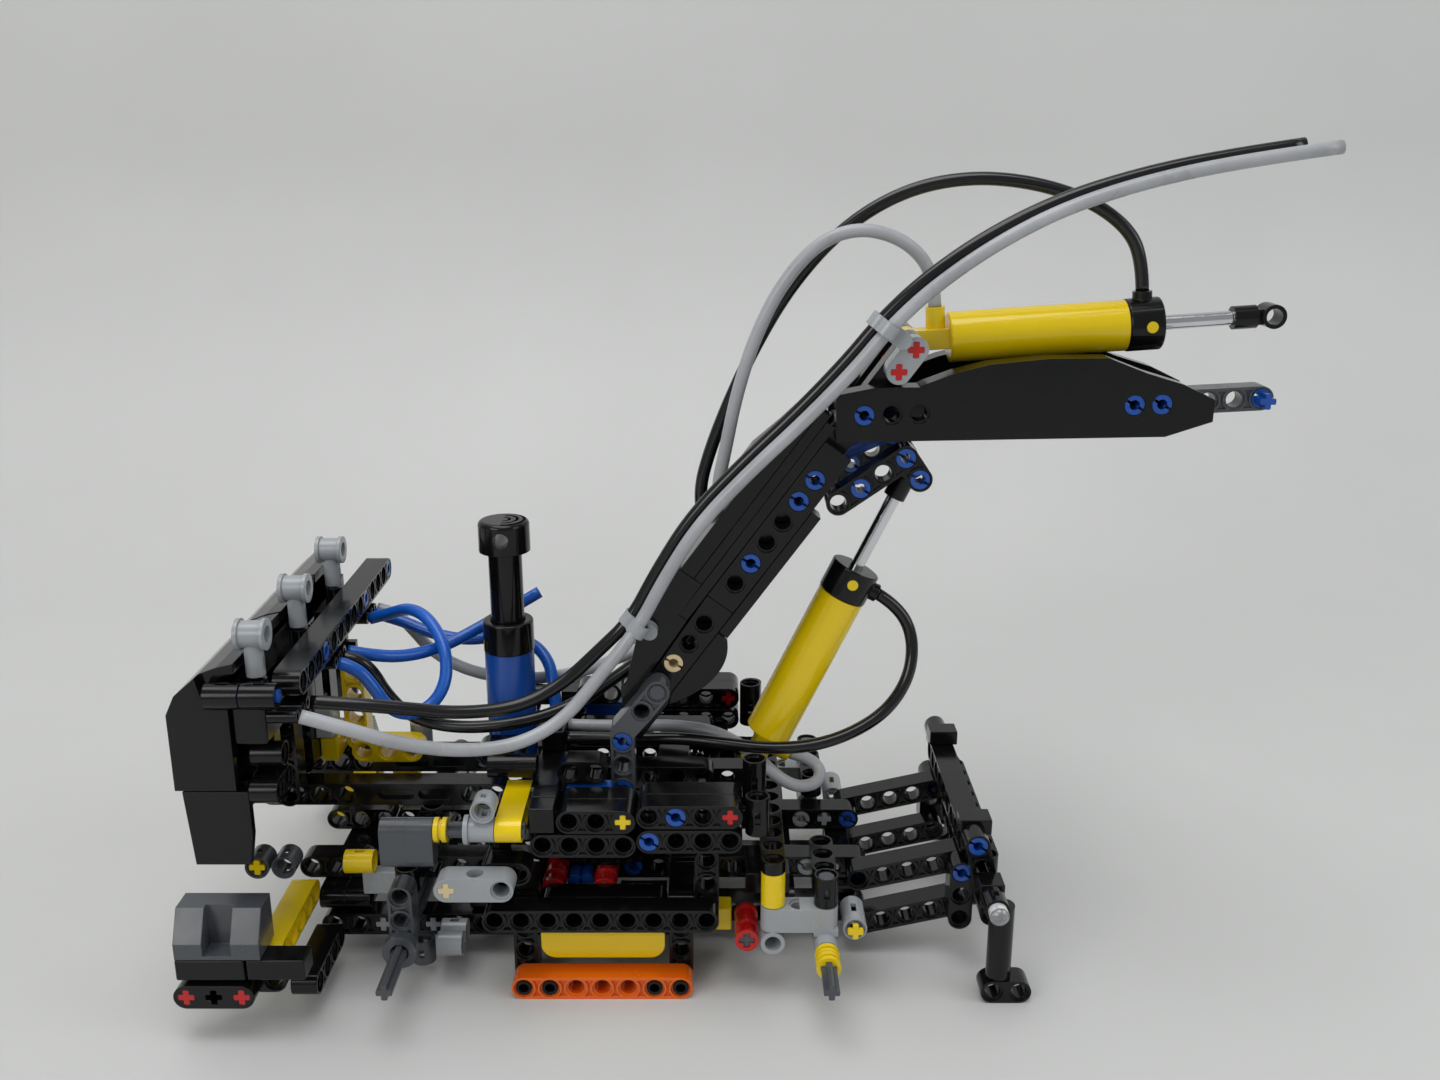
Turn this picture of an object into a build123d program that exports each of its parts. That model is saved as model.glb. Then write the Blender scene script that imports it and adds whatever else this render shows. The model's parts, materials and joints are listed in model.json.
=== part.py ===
from build123d import *
import math
import os
from functools import lru_cache

# Hydraulic arm kit: a pegged-beam excavator with a two-part lifting arm,
# two air cylinders, a hand pump, three valves and free air hoses.
# Millimetres. X runs from the tail to the arm tip, Y away from the near side, Z up.

os.makedirs("parts", exist_ok=True)

# ---------------------------------------------------------------- driving sizes
PITCH = 8.0
WIDE = 7.4
THICK = 7.8
HOLE_R = 2.45
BORE_R = 3.1
BORE_D = 0.85
POCKET_D = 0.8
PIN_R = 2.38
AXLE_W = 1.75
TUBE_R = 3.65
HOSE_D = 4.0

ORIGIN = (5.6, 0.0, 3.1)

SLEW_X = -36.0
REAR_X = -96.0
FRONT_X = 32.0
WHEEL_Z = 22.0

BOOM_ANGLE = 53.8
BOOM_P0 = (28.2, 158.7)
LEVER_X = -121.5
LEVER_Z = 109.0
BLADE_ANGLE = 13.0
DECK_Z = 53.9
PUMP_X = -68.0
CRANK_Y = -52.0
PORT_Z = 101.4
LEVER_YS = (-56.5, -16.5, 23.5)
PORT_STEP = (-5, 0, 5)
PORT_X = -117.0
LIFT_BASE = (10.4, 57.5)
LIFT_EYE = (59.3, 158.9)
STICK_ANGLE = 3.9
STICK_LENGTH = 109.0

# ---------------------------------------------------------------- helpers
NODES = {}


def add(name, *shapes):
    NODES.setdefault(name, []).extend(shapes)


def mirrored(shape):
    return mirror(shape, Plane.XZ)


def pair(name, *shapes):
    for shape in shapes:
        add(name, shape, mirrored(shape))


def at(shape, x, y, z, rx=0.0, ry=0.0, rz=0.0):
    return Location((x, y, z), (rx, ry, rz)) * shape


def slab(sketch, depth=THICK):
    return extrude(Plane.XZ * sketch, depth / 2, both=True)


def boom_point(along, perp=0.0):
    a = math.radians(BOOM_ANGLE)
    x = BOOM_P0[0] + along * math.cos(a) - perp * math.sin(a)
    z = BOOM_P0[1] + along * math.sin(a) + perp * math.cos(a)
    return (x, z)


def cross(r=PIN_R, w=AXLE_W):
    return Circle(r) & (Rectangle(2 * r, w) + Rectangle(w, 2 * r))


def track(path, wide=WIDE):
    """Rounded outline that follows a path of points."""
    shape = Pos(*path[0]) * Circle(wide / 2)
    for a, b in zip(path, path[1:]):
        run = math.dist(a, b)
        turn = math.degrees(math.atan2(b[1] - a[1], b[0] - a[0]))
        mid = ((a[0] + b[0]) / 2, (a[1] + b[1]) / 2)
        shape += Pos(*mid) * Rot(0, 0, turn) * Rectangle(run, wide)
        shape += Pos(*b) * Circle(wide / 2)
    return shape


def pocket_sketch(a, b):
    """Hourglass recess between two neighbouring holes."""
    turn = math.degrees(math.atan2(b[1] - a[1], b[0] - a[0]))
    mid = ((a[0] + b[0]) / 2, (a[1] + b[1]) / 2)
    half = math.dist(a, b) / 2
    shape = Rectangle(2 * half - 0.6, 5.4)
    shape -= Pos(-half, 0) * Circle(3.72)
    shape -= Pos(half, 0) * Circle(3.72)
    return Pos(*mid) * Rot(0, 0, turn) * shape


def holed(body, holes, crosses=(), depth=THICK, pockets=False, slots=()):
    """Drill pin holes along Y with shallow counterbores on both faces."""
    face = depth / 2
    for p in holes:
        body -= slab(Pos(*p) * Circle(HOLE_R), depth + 1)
        ring = Pos(*p) * Circle(BORE_R)
        for side in (-1, 1):
            body -= Pos(0, side * (face - BORE_D / 2), 0) * slab(ring, BORE_D)
    for p in crosses:
        body -= slab(Pos(*p) * cross(HOLE_R, AXLE_W + 0.12), depth + 1)
    spots = sorted(list(holes) + list(crosses))
    if pockets:
        for i, a in enumerate(spots):
            for b in spots[i + 1:]:
                if abs(math.dist(a, b) - PITCH) > 0.3:
                    continue
                for side in (-1, 1):
                    recess = slab(pocket_sketch(a, b), POCKET_D)
                    body -= Pos(0, side * (face - POCKET_D / 2), 0) * recess
    for a, b in slots:
        for side in (-1, 1):
            recess = slab(track([a, b], 3.6), 1.6)
            body -= Pos(0, side * (face - 0.8), 0) * recess
    return body


def link(path, holes, y=0.0, crosses=(), depth=THICK, pockets=False, slots=()):
    """Flat beam drawn in absolute X,Z points with its holes along Y."""
    body = slab(track(path), depth)
    return Pos(0, y, 0) * holed(body, holes, crosses, depth, pockets, slots)


def row(x, z, count, angle=0.0):
    a = math.radians(angle)
    step = (PITCH * math.cos(a), PITCH * math.sin(a))
    return [(x + i * step[0], z + i * step[1]) for i in range(count)]


@lru_cache(maxsize=None)
def beam(count, pockets=False, crosses=(), depth=THICK):
    """Straight beam along X from the origin, holes along Y."""
    pts = row(0, 0, count)
    keep = [p for i, p in enumerate(pts) if i not in crosses]
    cut = [pts[i] for i in crosses]
    return link([pts[0], pts[-1]] if count > 1 else pts, keep, 0, cut, depth, pockets)


def beam_xy(x, y, z, count, angle=0.0, pockets=False, crosses=(), depth=THICK):
    """Straight beam in the X,Z plane, holes along Y."""
    return at(beam(count, pockets, crosses, depth), x, y, z, 0, -angle, 0)


def along_y(shape, x, y, z, holes="X"):
    """Turn a beam so that it runs along Y with holes along X or Z."""
    if holes == "X":
        return Location((x, y, z)) * Rot(0, 0, 90) * shape
    return Location((x, y, z)) * Rot(0, 0, 90) * Rot(90, 0, 0) * shape


def flat_x(shape, x, y, z):
    """Turn a beam so that it runs along X with holes along Z."""
    return Location((x, y, z)) * Rot(90, 0, 0) * shape


def rod(r, length, axis="Y"):
    body = Cylinder(r, length)
    if axis == "Y":
        return Rot(90, 0, 0) * body
    if axis == "X":
        return Rot(0, 90, 0) * body
    return body


def turned(shape, axis):
    """Turn a part made along Y to run along X or Z."""
    if axis == "X":
        return Rot(0, 0, -90) * shape
    if axis == "Z":
        return Rot(90, 0, 0) * shape
    return shape


@lru_cache(maxsize=None)
def axle(length, axis="Y"):
    return turned(slab(cross(), length), axis)


@lru_cache(maxsize=None)
def pin(axis="Y", length=15.4):
    """Split friction pin with a middle collar and two lipped ends."""
    half = length / 2
    body = rod(PIN_R, length) + rod(2.95, 1.4)
    for side in (-1, 1):
        body += Pos(0, side * (half - 0.35), 0) * rod(2.92, 0.7)
    body -= rod(1.5, length + 1)
    for side in (-1, 1):
        body -= Pos(0, side * (half - 1.6), 0) * Rot(0, 30, 0) * Box(7, 3.4, 0.8)
    return turned(body, axis)


@lru_cache(maxsize=None)
def stub_pin(axis="Y"):
    """One-module pin end that fills a single hole."""
    body = rod(PIN_R, 7.4)
    for side in (-1, 1):
        body += Pos(0, side * 3.45, 0) * rod(2.92, 0.7)
    body -= rod(1.5, 8)
    for side in (-1, 1):
        body -= Pos(0, side * 2.6, 0) * Rot(0, 30, 0) * Box(7, 2.4, 0.8)
    return turned(body, axis)


@lru_cache(maxsize=None)
def bush(axis="Y"):
    """Full bush: two rims, a slimmer waist and a cross hole."""
    body = rod(3.0, 7.8)
    body += Pos(0, 3.1, 0) * rod(3.7, 1.6)
    body += Pos(0, -3.1, 0) * rod(3.7, 1.6)
    body -= slab(cross(HOLE_R, AXLE_W + 0.12), 9)
    return turned(body, axis)


@lru_cache(maxsize=None)
def half_bush(axis="Y"):
    body = rod(3.7, 3.8) - (rod(4.2, 1.0) - rod(3.0, 1.0))
    body -= slab(cross(HOLE_R, AXLE_W + 0.12), 5)
    return turned(body, axis)


@lru_cache(maxsize=None)
def joiner(length, axis="Y"):
    """Round tube connector with a waist slot."""
    body = rod(TUBE_R, length) - rod(HOLE_R, length + 1)
    for side in (-1, 1):
        body -= Pos(0, side * (length / 2 - 0.4), 0) * rod(BORE_R, 0.9)
    body -= Box(1.6, length / 3, 9)
    return turned(body, axis)


def block(x0, x1, y0, y1, z0, z1, r=0.3):
    body = Box(x1 - x0, y1 - y0, z1 - z0)
    if r:
        body = fillet(body.edges(), r)
    return Pos((x0 + x1) / 2, (y0 + y1) / 2, (z0 + z1) / 2) * body


def hose(points, radii, d=HOSE_D):
    """Round hose made of straight runs joined by tangent arcs."""
    path = FilletPolyline(*[Vector(*p) for p in points], radius=radii)
    start = Plane(path @ 0, z_dir=path % 0)
    body = sweep(start * Circle(d / 2), path=path)
    print("hose", round(path.length, 1), [round(r, 1) for r in radii])
    return body


def arc_radii(points, top=0.45):
    """Arc radius of each corner from its shorter run and its turn."""
    out = []
    for a, b, c in zip(points, points[1:], points[2:]):
        u = Vector(*b) - Vector(*a)
        v = Vector(*c) - Vector(*b)
        half = math.radians(u.get_angle(v)) / 2
        out.append(top * min(u.length, v.length) / math.tan(half))
    return out


# ---------------------------------------------------------------- undercarriage
def chassis_frame():
    name = "chassis_frame"
    pair(name, beam_xy(-68, -16, 30, 15, pockets=True))
    pair(name, beam_xy(-108, -16, 30, 5))
    pair(name, beam_xy(-124, -24, 14, 15, pockets=True, crosses=(2, 4)))
    pair(name, beam_xy(-4, -16, 14, 7, pockets=True))
    for x in (-116, -76, -44, -12, 20):
        add(name, along_y(Pos(-24, 0, 0) * beam(7), x, 0, 22))
    add(name, along_y(Pos(-40, 0, 0) * beam(11), REAR_X, 0, 38, "Z"))
    add(name, along_y(Pos(-16, 0, 0) * beam(5), 40, 0, 22))
    for x in (-60, -12):
        pair(name, along_y(Pos(-40, 0, 0) * beam(3), x, 0, 30.3))
    pair(name, beam_xy(-68, -40, 30, 3, 90, pockets=True))
    pair(name, beam_xy(-4, -40, 30, 3, 90, pockets=True))
    pair(name, link([(-68, 46), (-60, 46)], [(-68, 46), (-60, 46)], -48, pockets=True))
    pair(name, beam_xy(-132, -16, 30, 3, pockets=True))
    add(name, along_y(Pos(-24, 0, 0) * beam(7), -124, 0, 22))
    pair(name, at(joiner(9.6, "Z"), FRONT_X, -48, 39))
    pair(name, along_y(Pos(-40, 0, 0) * beam(3), FRONT_X, 0, 38, "Z"))
    pair(name, block(-32, -17, -34, -21, 18, 26))
    pair(name, block(-66, -50, -34, -29, 18, 26))
    pair(name, block(8, 22, -30, -20.2, 26.5, 33.5))


def step_frame():
    name = "step_frame"
    pair(name, beam_xy(-68, -48, 30, 9, pockets=True))
    pair(name, beam_xy(-60, -40, 6.8, 3, 90, pockets=True))
    pair(name, beam_xy(-12, -40, 6.8, 3, 90, pockets=True))
    pair(name, beam_xy(-52, -40, 30, 5, pockets=True))
    for x in (-60, -52, -20, -12):
        pair(name, at(rod(PIN_R, 7.4) - rod(1.5, 8), x, -48.0, 6.8))


def step_rails():
    pair("step_rails", beam_xy(-60, -48, 6.8, 7, pockets=True))


def chassis_yellow():
    name = "chassis_yellow"
    body = Box(38, 8.6, 12.6)
    body = fillet(body.edges().filter_by(Axis.Y).group_by(Axis.Z)[0], 4.5)
    body -= Pos(0, 1.6, 1.6) * Box(34.4, 8.6, 12.6)
    pair(name, Pos(-36, -40.6, 19.4) * body)
    lip = Box(37, 0.9, 3.6)
    pair(name, Pos(-36, -45.5, 23.6) * fillet(lip.edges().filter_by(Axis.Y), 0.8))
    pair(name, block(-12, 3.6, -36, -28.2, 17, 24.5, 0.6))
    pair(name, at(joiner(9.0, "X"), -112, -33.5, 40))
    pair(name, at(slab(cross(), 1.5), 41, -50.6, 26))
    pair(name, at(slab(cross(), 7.4), -139, -44.2, 46))


def chassis_bushes():
    name = "chassis_bushes"
    for x in (-52, -36):
        pair(name, at(bush(), x, -31.8, 31.5))
        pair(name, at(bush(), x, -23.9, 31.5))
    pair(name, at(bush(), 8.2, -44, 21))
    pair(name, at(bush(), 8.2, -36.1, 21))


def chassis_light():
    name = "chassis_light"
    body = link([(-80, 45.4), (-64, 45.4)], [(-64, 45.4)], -56.2, [(-80, 45.4)])
    body -= Pos(-72, -56.2, 45.4) * Cylinder(HOLE_R, 9)
    pair(name, body)
    pair(name, at(axle(7.7), -80, -56.2, 45.4))
    pair(name, at(joiner(13, "Y"), 41, -43, 26))
    for x in (12, 28):
        pair(name, at(stub_pin(), x, -16, 30))
    pair(name, at(axle(7.7), 36, -16, 30))
    for x in (-108, -92):
        pair(name, at(axle(7.7), x, -24, 14))
    pair(name, at(joiner(8, "X"), -84, -32.6, 15))
    pair(name, along_y(beam(1), -84, -40, 15))
    pair(name, block(-112, -100, -33, -28.5, 28, 35.8, 0.5))


def hub_blocks():
    name = "hub_blocks"
    pair(name, beam_xy(REAR_X, -48, WHEEL_Z, 3, 90, pockets=True))
    pair(name, at(rod(5.2, 4) - rod(HOLE_R + 0.3, 5), REAR_X, -54.1, WHEEL_Z))
    pair(name, at(joiner(8, "Z"), REAR_X + 3, -38, 12))
    pair(name, at(joiner(8), -139, -44, 46))
    pair(name, at(joiner(8), -131, -44, 46))
    pair(name, at(axle(15), 8.2, -40, 21))
    for x in (-52, -36):
        pair(name, at(axle(16), x, -28, 31.5))


def chassis_pins():
    name = "chassis_pins"
    pair(name, at(stub_pin(), 44, -16, 30))
    for x in (-44, -28):
        pair(name, at(stub_pin(), x, -16, 30))
    pair(name, at(rod(2.2, 6), -45.9, -27, 31), at(rod(2.2, 6), -42.1, -27, 31))


def turntable_base():
    ring = Pos(SLEW_X, 0, 38.9) * Cylinder(28, 7.0)
    for i in range(48):
        spot = Rot(0, 0, i * 7.5) * Pos(28, 0, 0) * Cylinder(0.85, 5)
        ring -= Pos(SLEW_X, 0, 38.9) * spot
    ring -= Pos(SLEW_X, 0, 38.9) * Cylinder(10, 8)
    add("turntable_base", ring)
    for x in (-54, -18):
        pair("turntable_base", block(x - 4, x + 4, -19.6, -12.4, 33.75, 35.35, 0))


def rear_axle():
    add("rear_axle", at(axle(152), REAR_X, 0, WHEEL_Z))


def front_knuckle(side, tag):
    y = side * 48
    arm = flat_x(beam(2), 16, y, 30)
    arm += Pos(FRONT_X - 4, y, 30) * Box(8, 7.4, 7.8)
    arm += Pos(FRONT_X, y, 30) * Cylinder(3.7, 7.8)
    arm -= Pos(FRONT_X, y, 30) * Cylinder(HOLE_R, 9)
    arm += at(rod(3.7, 7.6) - rod(HOLE_R, 9), 16, y, 22.4)
    arm += at(rod(3.7, 15.6), FRONT_X, y, WHEEL_Z)
    arm -= at(rod(HOLE_R, 17), FRONT_X, y, WHEEL_Z)
    arm += Pos(FRONT_X, y, 25.8) * Box(7.4, 7.4, 2)
    arm -= at(rod(HOLE_R, 17), FRONT_X, y, WHEEL_Z)
    add("steer_arm_" + tag, arm)
    for k in (58.2, 62.2):
        add("stub_" + tag, at(half_bush(), FRONT_X, side * k, WHEEL_Z))
    add("stub_" + tag, at(axle(34), FRONT_X, side * 59, WHEEL_Z))
    add("hub_blocks", at(rod(PIN_R, 16, "Z"), FRONT_X, y, 35.3))


def tie_rod():
    name = "tie_rod"
    for y in (-48, 48):
        tube = at(rod(TUBE_R, 11, "Z"), 16, y, 39.7) + at(rod(PIN_R, 9, "Z"), 16, y, 30.9)
        add(name, tube - at(rod(1.6, 12, "Z"), 16, y, 42))
    add(name, along_y(Pos(-48, 0, 0) * beam(13, depth=3.8), 16, 0, 47.3, "Z"))


# ---------------------------------------------------------------- outriggers
def outrigger(side, tag):
    arm = along_y(Pos(-60, 0, 0) * beam(5, pockets=True), -132.2, 0, 26)
    low = along_y(Pos(-60, 0, 0) * beam(4, pockets=True), -123, 0, 15)
    foot = beam_xy(-154, -69, 18.4, 3, crosses=(0, 1, 2))
    plate = block(-156.5, -136.6, -72.4, -59.5, 23.6, 30.2, 0.6)
    reds = [at(axle(7.7), x, -69, 18.4) for x in (-154, -138)]
    spine = beam_xy(-147, -61, 18.4, 3)
    bridge = block(-135.9, -119.2, -72.4, -64.2, 23.8, 30.2, 0.5)
    slope = Box(24.6, 13, 14)
    slope = chamfer(slope.edges().filter_by(Axis.X).group_by(Axis.Z)[-1].sort_by(Axis.Y)[:1], 9, 5)
    slope -= Pos(0, -3.5, 1.2) * Box(8.2, 7.5, 14)
    slope = Pos(-144, -65.8, 37.4) * slope
    pieces = {
        "outrigger_arm_": [arm],
        "outrigger_foot_": [low, foot, plate, spine, bridge] + reds,
        "outrigger_slope_": [slope],
    }
    for stem, shapes in pieces.items():
        for shape in shapes:
            add(stem + tag, shape if side < 0 else mirrored(shape))


# ---------------------------------------------------------------- front blade
def blade():
    up = row(44, 30, 5, BLADE_ANGLE)
    low = row(44, 14, 5, BLADE_ANGLE)
    pair("blade_upper_arms", link([up[0], up[4]], up, -24.2, pockets=True))
    pair("blade_lower_arms", link([low[0], low[4]], low, -24.2, pockets=True))
    name = "blade_frame"
    ends = [up[4], low[4]]
    mid = ((ends[0][0] + ends[1][0]) / 2, (ends[0][1] + ends[1][1]) / 2)
    pair(name, link(ends, ends + [mid], -32.2))
    side = row(78.0, 50.9, 4, -77)
    pair(name, link([side[0], side[3]], side, -40.2, pockets=True))
    add(name, along_y(Pos(-32, 0, 0) * beam(9, pockets=True), 78.4, 0, 46.6))
    add(name, along_y(Pos(-32, 0, 0) * beam(9), 83.2, 0, 38.0, "Z"))
    add(name, along_y(Pos(-32, 0, 0) * beam(9), 83.2, 0, 28.0))
    pair(name, block(77.7, 85.1, -52.1, -44.3, 35, 42.5))
    pair(name, block(74, 83.6, -35.9, -28.3, 50.5, 55.4))
    pair(name, at(joiner(7.8), 81.4, -56.2, 38.8))
    pair(name, at(rod(3.8, 24, "Z"), 85, -50, 22.8))
    pair(name, beam_xy(83, -50, 6.8, 2))
    for x, z in (side[0], side[2]):
        pair("blade_pins", at(stub_pin(), x, -40.2, z))
    pair("blade_pins", at(stub_pin(), up[4][0], -32.2, up[4][1]))
    lamp = rod(2.9, 3) + Pos(0, -1.6, 0) * Rot(90, 0, 0) * Sphere(2.9, arc_size1=0)
    pair("blade_lamps", at(lamp, 81.4, -61.8, 38.8))


# ---------------------------------------------------------------- superstructure
def deck_frame():
    name = "deck_frame"
    ring = Pos(SLEW_X, 0, 46.2) * Cylinder(24, 6.9) - Pos(SLEW_X, 0, 46.2) * Cylinder(10, 8)
    add(name, ring)
    rear = row(-144, DECK_Z, 10)
    keep = rear[:4] + rear[8:]
    slots = [((-108, DECK_Z), (-100, DECK_Z)), ((-95, DECK_Z), (-88, DECK_Z))]
    pair(name, link([rear[0], rear[-1]], keep, -12, pockets=True, slots=slots))
    pair(name, beam_xy(-64, -16.2, DECK_Z, 10))
    pair(name, beam_xy(-45.6, -16.2, 61.8, 6))
    add(name, along_y(Pos(-32, 0, 0) * beam(9), -54.0, 0, 61.8))
    add(name, block(-20, -10, -11.9, 11.9, 50.2, 65))
    pair(name, beam_xy(-5.6, -8.2, 57.5, 3))
    for y in (-48, -40):
        pair(name, beam_xy(-21, y, 64.8, 4, pockets=True, crosses=(3,)))
        pair(name, beam_xy(-21, y, 56.8, 4, pockets=True))
        pair(name, beam_xy(-44.6, y, 63.2, 3, pockets=True, crosses=(2,)))
        pair(name, beam_xy(-52.6, y, 55.4, 4, pockets=True))
    pair(name, block(-56.4, -48.8, -51.9, -44.1, 59.6, 67.6, 0.5))
    pair(name, block(-56.4, -48.8, -43.9, -36.1, 59.6, 67.6, 0.5))
    for x in (-48, -17, -1):
        pair(name, along_y(Pos(-32, 0, 0) * beam(2), x, 0, DECK_Z, "Z"))
    pair(name, block(-57.6, -50.4, -9, -0.1, 65.7, 72.6, 0.5))
    pair(name, along_y(Pos(-40, 0, 0) * beam(2, depth=7.0), -66.6, 0, 53.7, "Z"))
    pair(name, at(joiner(15), -64, -28, 70, 0, 0, 90))
    pair(name, at(joiner(12, "Z"), 11.2, -44, 62))
    pair(name, at(joiner(15, "Z"), 10.6, -30, 66))
    pair(name, beam_xy(-46, -30.4, 70.6, 2), beam_xy(-73, -16, 69.4, 2))


def tail_frame():
    name = "tail_frame"
    pair(name, beam_xy(-135.6, -20.2, 57.6, 5, 90, pockets=True))
    pair(name, beam_xy(-135.6, -4.2, 61, 5, 90))
    add(name, along_y(Pos(-48, 0, 0) * beam(13, pockets=True), -143.4, 0, 70))
    add(name, along_y(Pos(-48, 0, 0) * beam(13, pockets=True), -143.8, 0, 94))
    for y in LEVER_YS:
        add(name, block(-135.6, -126.2, y - 7, y + 7, 93.6, 104.6, 0.8))
        add(name, at(rod(2.9, 6.3, "Z"), -130, y, 107.75))
        for k in PORT_STEP:
            add(name, at(rod(1.9, 8.2, "X") - rod(1.0, 9, "X"), -122, y + k, PORT_Z))
    add(name, at(joiner(9.6, "X"), -136.7, -64.8, LEVER_Z))
    add(name, at(joiner(9.8, "X"), -126.6, -64.8, LEVER_Z))
    add(name, at(joiner(9, "X"), -128, -58, 88.5))
    add(name, along_y(beam(2), -128.4, -62, 79, "X"))
    add(name, at(joiner(8, "Z"), -137.5, -57, 76.5))
    add(name, block(-139.5, -128.5, -52, -46, 84, 93, 0.6))


def lever_beam():
    add("lever_beam", along_y(Pos(-54.5, 0, 0) * beam(14, pockets=True), LEVER_X, 0, LEVER_Z))


def tail_panels():
    name = "tail_panels"
    skin = [(-149.6, 80.2), (-153.2, 80.2), (-153.2, 103.0), (-150.4, 108.9)]
    skin += [(-144.3, 114.2), (-139, 116.2), (-134.4, 117.2), (-134.4, 114.3)]
    skin += [(-137, 113.8), (-143, 110.8), (-148, 106.6), (-150.4, 101.6), (-150.4, 83)]
    wall = make_face(Polyline(*skin, close=True))
    wide = 55.0
    for y0, y1 in ((-62.0, -20.2), (-18.6, 16.4), (18.0, 53.0)):
        panel = Pos(0, (y0 + y1) / 2, 0) * slab(wall, y1 - y0)
        add(name, fillet(panel.edges().filter_by(Axis.Y).group_by(Axis.Z)[2:5][1], 0.6))
    low = make_face(Polyline((-151.2, 79.8), (-149.6, 57.0), (-146.8, 57.0), (-148.2, 79.8), close=True))
    add(name, Pos(0, -4.5, 0) * slab(low, 2 * wide + 5))
    for side in (-1, 1):
        y = -63.6 if side < 0 else 54.6
        cheek = [(-153.2, 80.2), (-153.2, 103.2), (-150.4, 108.9), (-144.3, 114.2)]
        cheek += [(-142.0, 104.9), (-135.9, 104.9), (-135.9, 80.2)]
        add(name, Pos(0, y, 0) * slab(make_face(Polyline(*cheek, close=True)), 2.8))
        cheek = [(-151.2, 79.8), (-149.6, 57), (-134.1, 57), (-132.7, 66), (-132.7, 79.8)]
        add(name, Pos(0, y, 0) * slab(make_face(Polyline(*cheek, close=True)), 2.8))


def boom_mounts():
    hip = boom_point(-80)
    b = (hip[0] - 4.9, hip[1] - 6.33)
    holes = [(-30, 62), (-30, 70), (-30, 78), b, hip]
    path = [(-30, 62), (-30, 80.8), b, hip]
    pair("boom_mounts", link(path, holes, -24.3, pockets=True))
    pair("boom_mounts", at(rod(2.38, 15), hip[0], -20.2, hip[1]))


def deck_small():
    for x, z in ((-13, 64.8), (-21, 56.8)):
        pair("deck_pins", at(stub_pin(), x, -48, z))
    for x, z in ((-30, 62), (-30, 78)):
        pair("deck_pins", at(stub_pin(), x, -24.3, z))
    for hole in (3, 9, 13):
        add("deck_pins", at(stub_pin("X"), LEVER_X, -54.5 + PITCH * hole, LEVER_Z))
    add("deck_pins", at(rod(1.9, 20, "X"), -131.2, -64.8, LEVER_Z))
    pair("deck_pins", block(-47, -33, -35, -29.2, 60.5, 66, 0.8))
    pair("deck_axles", at(axle(15.4), 3, -44, 64.8))
    pair("deck_axles", at(axle(15.4), -28.6, -44, 63.2))
    name = "deck_yellow"
    add(name, along_y(Pos(CRANK_Y, 0, 0) * beam(4, pockets=True), -62, 0, 61))
    add(name, beam_xy(-122, 12.2, 62, 4, 90, pockets=True))
    add(name, beam_xy(-118, 4.2, 61.2, 3))
    add(name, block(-131.8, -126.2, 0, 14, 58, 66, 0.5))
    name = "deck_light"
    sleeve = joiner(9, "X") + Pos(-3.8, 0, 0) * (rod(4.4, 1.4, "X") - rod(HOLE_R, 2, "X"))
    add(name, at(sleeve, -70.6, CRANK_Y, 61))
    add(name, at(joiner(7.4), -69, CRANK_Y, 68.6))
    add(name, at(joiner(9, "Z"), -101, 12, 62.5))
    add(name, block(-131.8, -126.2, -4, 6, 68, 78, 0.5))


def pump():
    name = "pump_body"
    add(name, Pos(PUMP_X, 0, 77.9) * (Cylinder(7.9, 40) - Pos(0, 0, 3) * Cylinder(5.4, 36)))
    collar = Pos(PUMP_X, 0, 103.1) * Cylinder(8.1, 10) - Pos(PUMP_X, 0, 103.1) * Cylinder(5.4, 11)
    add("pump_body", fillet(collar.edges().group_by(Axis.Z)[-1], 0.8))
    name = "pump_plunger"
    stem = Pos(PUMP_X, 0, 108) * Cylinder(5.3, 47)
    knob = Pos(PUMP_X, 0, 136.2) * Cylinder(8.1, 10)
    knob = fillet(knob.edges().group_by(Axis.Z)[-1], 1.6)
    knob -= Pos(PUMP_X, 0, 136.2) * rod(HOLE_R, 20)
    for r in (2.0, 4.4, 6.6):
        groove = Cylinder(r + 0.5, 2.0) - Cylinder(r - 0.5, 3.0)
        groove &= Pos(4.5, 0, 0) * Box(9, 20, 3)
        knob -= Pos(PUMP_X, 0, 141.2) * groove
    add(name, stem + knob)


def valve_levers():
    for tag, y in zip(("near", "middle", "far"), LEVER_YS):
        stem = Pos(-130, y, 116.6) * (Cylinder(2.7, 9.4) - Pos(0, 0, -1) * Box(8, 1.1, 4))
        ring = Pos(-130, y, 124) * rod(3.9, 8.4, "X")
        for side in (-1, 1):
            ring += Pos(-130 + side * 3.6, y, 124) * rod(4.5, 1.2, "X")
        body = stem + ring - Pos(-130, y, 124) * rod(2.4, 10, "X")
        add("valve_lever_" + tag, body)


def crank():
    name = "crank_knob"
    for x in (-95.8, -88.0):
        add(name, Location((x, CRANK_Y, 61)) * Rot(0, 0, 90) * Rot(0, 90, 0) * beam(2))
    name = "crank_axle"
    add(name, at(axle(42.6, "X"), -78.5, CRANK_Y, 61))
    add(name, at(half_bush("X"), -82.0, CRANK_Y, 61))


# ---------------------------------------------------------------- arm
def boom_strip(a0, a1, p0, p1, y, holes=(), depth=THICK, r=0.0):
    pts = [boom_point(a0, p0), boom_point(a1, p0), boom_point(a1, p1), boom_point(a0, p1)]
    body = Pos(0, y, 0) * slab(make_face(Polyline(*pts, close=True)), depth)
    for i in holes:
        x, z = boom_point(-PITCH * i)
        body -= at(rod(HOLE_R, 9), x, y, z)
        for side in (-1, 1):
            body -= at(rod(BORE_R, BORE_D), x, y + side * (depth / 2 - BORE_D / 2), z)
    return body


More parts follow.
